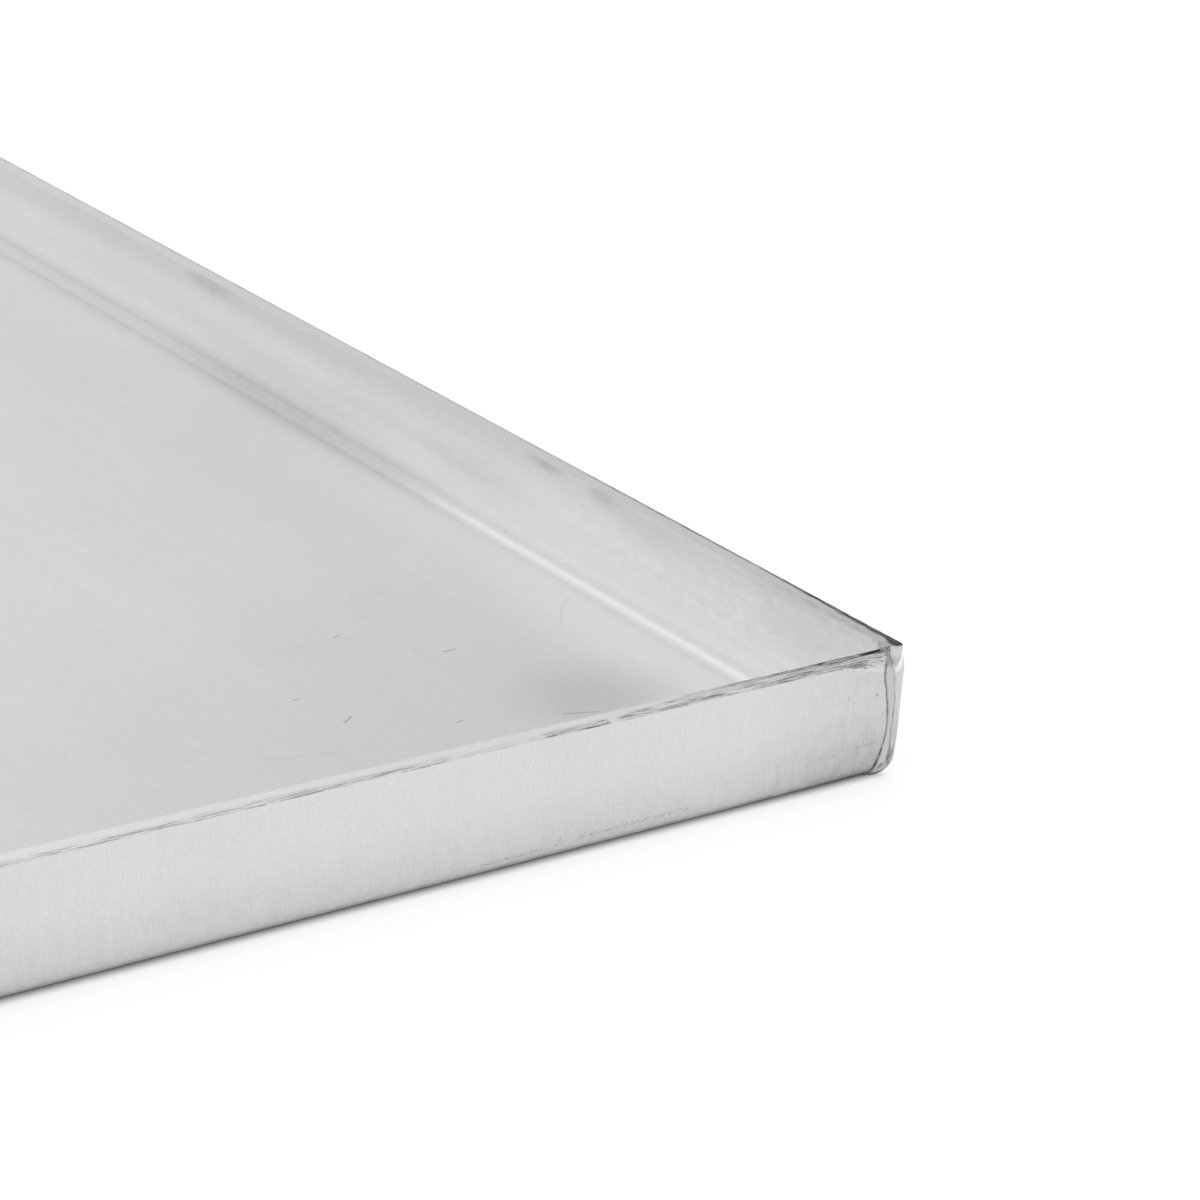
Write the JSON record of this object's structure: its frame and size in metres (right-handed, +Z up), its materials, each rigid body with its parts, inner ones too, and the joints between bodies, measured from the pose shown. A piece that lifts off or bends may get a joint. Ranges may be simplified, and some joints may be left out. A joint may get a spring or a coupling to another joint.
{
  "type": "cookie sheet",
  "caption": "Rectangular aluminium cookie sheet: a flat floor folded up into low square walls with a raw cut rim, its corners closed by ground weld beads.",
  "frame": {"origin": "centre of the flat underside, on the surface that the tray rests on", "axes": "+Z up out of the tray's open side, +Y along the long walls, +X along the short walls"},
  "size_m": [0.3, 0.4, 0.01],
  "materials": {
    "sheet": "mill-finish rolled sheet with fine grain and light scratches",
    "weld": "ground weld metal, brighter than the sheet"
  },
  "bodies": {
    "root": {"folded_sheet": "sheet", "weld_front_right": "weld", "weld_front_left": "weld", "weld_back_right": "weld", "weld_back_left": "weld"}
  },
  "joints": []
}
